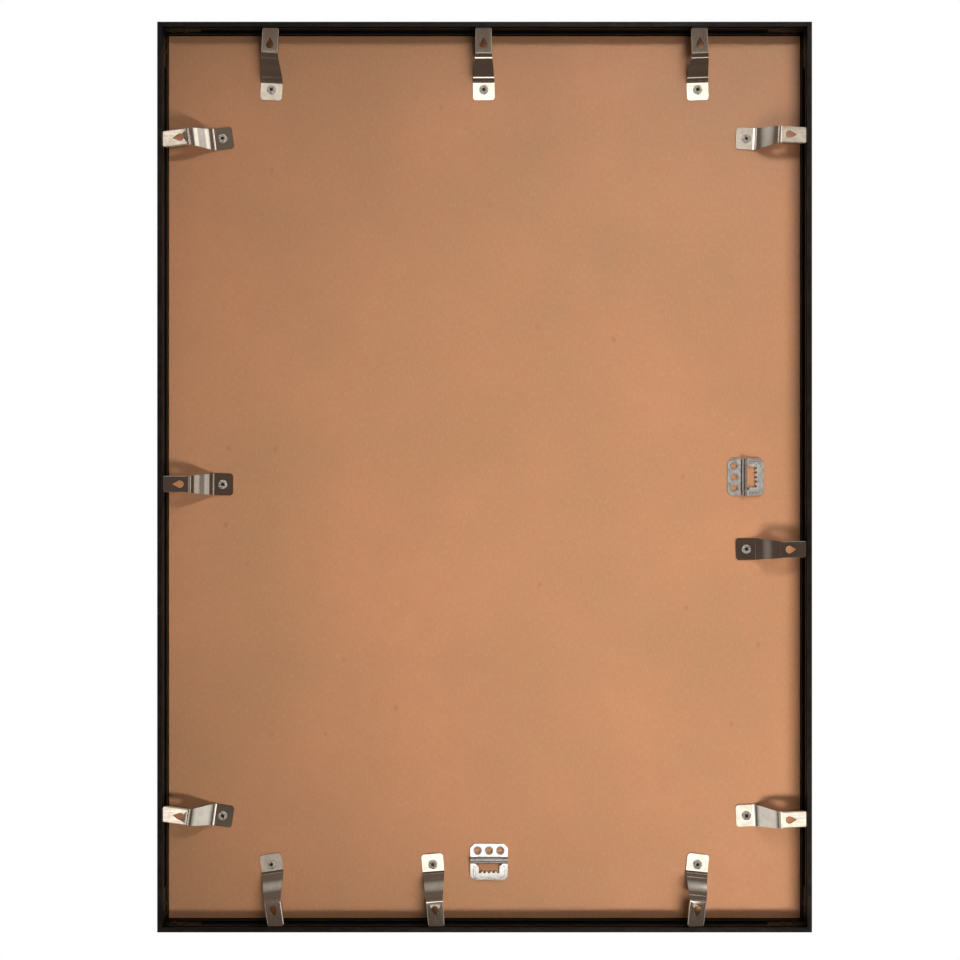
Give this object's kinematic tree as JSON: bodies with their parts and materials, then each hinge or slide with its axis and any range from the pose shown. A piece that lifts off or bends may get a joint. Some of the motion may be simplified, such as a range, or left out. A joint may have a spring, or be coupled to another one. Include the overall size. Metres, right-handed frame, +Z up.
{
  "type": "picture frame",
  "caption": "Slim black metal picture frame, portrait, with pane, hardboard back, riveted swivel spring clips, corner angles and hinged sawtooth hangers.",
  "frame": {"origin": "the portrait hanger's nail notch on the frame's centre line, at the back board's rear face", "axes": "+Z up as it hangs in portrait, +Y out of the back towards the wall, +X to the right as seen with +Y away"},
  "size_m": [0.512, 0.0208, 0.712],
  "materials": {
    "black_aluminium": "satin black coating",
    "dark_steel": "dark zinc plating",
    "clear_pane": "clear",
    "blank_paper": "matt",
    "hardboard": "smooth pressed fibre",
    "spring_steel": "bright rolled",
    "plated_rivet": "nickel plated",
    "plated_hanger": "bright zinc plated"
  },
  "bodies": {
    "frame": {"rail_top": "black_aluminium", "rail_bottom": "black_aluminium", "rail_left": "black_aluminium", "rail_right": "black_aluminium", "corner_angle_top_left": "dark_steel", "corner_screws_top_left": "dark_steel", "corner_angle_top_right": "dark_steel", "corner_screws_top_right": "dark_steel", "corner_angle_bottom_left": "dark_steel", "corner_screws_bottom_left": "dark_steel", "corner_angle_bottom_right": "dark_steel", "corner_screws_bottom_right": "dark_steel", "glazing": "clear_pane", "picture_sheet": "blank_paper", "back_board": "hardboard", "clip_rivets": "plated_rivet", "portrait_hanger_plate": "plated_hanger", "landscape_hanger_plate": "plated_hanger"},
    "clip_top_left": {"clip_top_left": "spring_steel"},
    "clip_top_middle": {"clip_top_middle": "spring_steel"},
    "clip_top_right": {"clip_top_right": "spring_steel"},
    "clip_bottom_left": {"clip_bottom_left": "spring_steel"},
    "clip_bottom_middle": {"clip_bottom_middle": "spring_steel"},
    "clip_bottom_right": {"clip_bottom_right": "spring_steel"},
    "clip_left_upper": {"clip_left_upper": "spring_steel"},
    "clip_left_middle": {"clip_left_middle": "spring_steel"},
    "clip_left_lower": {"clip_left_lower": "spring_steel"},
    "clip_right_upper": {"clip_right_upper": "spring_steel"},
    "clip_right_middle": {"clip_right_middle": "spring_steel"},
    "clip_right_lower": {"clip_right_lower": "spring_steel"},
    "portrait_hanger_loop": {"portrait_hanger_loop": "plated_hanger"},
    "landscape_hanger_loop": {"landscape_hanger_loop": "plated_hanger"}
  },
  "joints": [
    {"name": "clip_top_left_swivel", "type": "hinge", "parent": "frame", "child": "clip_top_left", "pos_m": [-0.1698, 0, -0.0066], "axis": [0, 1, 0], "range_deg": [-60, 150]},
    {"name": "clip_top_middle_swivel", "type": "hinge", "parent": "frame", "child": "clip_top_middle", "pos_m": [-0.0412, 0, -0.0066], "axis": [0, 1, 0], "continuous": true},
    {"name": "clip_top_right_swivel", "type": "hinge", "parent": "frame", "child": "clip_top_right", "pos_m": [0.1698, 0, -0.0066], "axis": [0, 1, 0], "range_deg": [-150, 60]},
    {"name": "clip_bottom_left_swivel", "type": "hinge", "parent": "frame", "child": "clip_bottom_left", "pos_m": [-0.1698, 0, -0.624], "axis": [0, 1, 0], "range_deg": [-150, 60]},
    {"name": "clip_bottom_middle_swivel", "type": "hinge", "parent": "frame", "child": "clip_bottom_middle", "pos_m": [-0.0006, 0, -0.624], "axis": [0, 1, 0], "continuous": true},
    {"name": "clip_bottom_right_swivel", "type": "hinge", "parent": "frame", "child": "clip_bottom_right", "pos_m": [0.1698, 0, -0.624], "axis": [0, 1, 0], "range_deg": [-60, 150]},
    {"name": "clip_left_upper_swivel", "type": "hinge", "parent": "frame", "child": "clip_left_upper", "pos_m": [-0.2087, 0, -0.0455], "axis": [0, 1, 0], "range_deg": [-150, 60]},
    {"name": "clip_left_middle_swivel", "type": "hinge", "parent": "frame", "child": "clip_left_middle", "pos_m": [-0.2087, 0, -0.3095], "axis": [0, 1, 0], "continuous": true},
    {"name": "clip_left_lower_swivel", "type": "hinge", "parent": "frame", "child": "clip_left_lower", "pos_m": [-0.2087, 0, -0.5851], "axis": [0, 1, 0], "range_deg": [-60, 150]},
    {"name": "clip_right_upper_swivel", "type": "hinge", "parent": "frame", "child": "clip_right_upper", "pos_m": [0.2087, 0, -0.0455], "axis": [0, 1, 0], "range_deg": [-60, 150]},
    {"name": "clip_right_middle_swivel", "type": "hinge", "parent": "frame", "child": "clip_right_middle", "pos_m": [0.2087, 0, -0.2579], "axis": [0, 1, 0], "continuous": true},
    {"name": "clip_right_lower_swivel", "type": "hinge", "parent": "frame", "child": "clip_right_lower", "pos_m": [0.2087, 0, -0.5851], "axis": [0, 1, 0], "range_deg": [-150, 60]},
    {"name": "portrait_hanger_hinge", "type": "hinge", "parent": "frame", "child": "portrait_hanger_loop", "pos_m": [0.0036, 0.00215, -0.0099], "axis": [-1, 0, 0], "range_deg": [0, 175]},
    {"name": "landscape_hanger_hinge", "type": "hinge", "parent": "frame", "child": "landscape_hanger_loop", "pos_m": [0.2068, 0.00215, -0.3153], "axis": [0, 0, 1], "range_deg": [0, 175]}
  ]
}
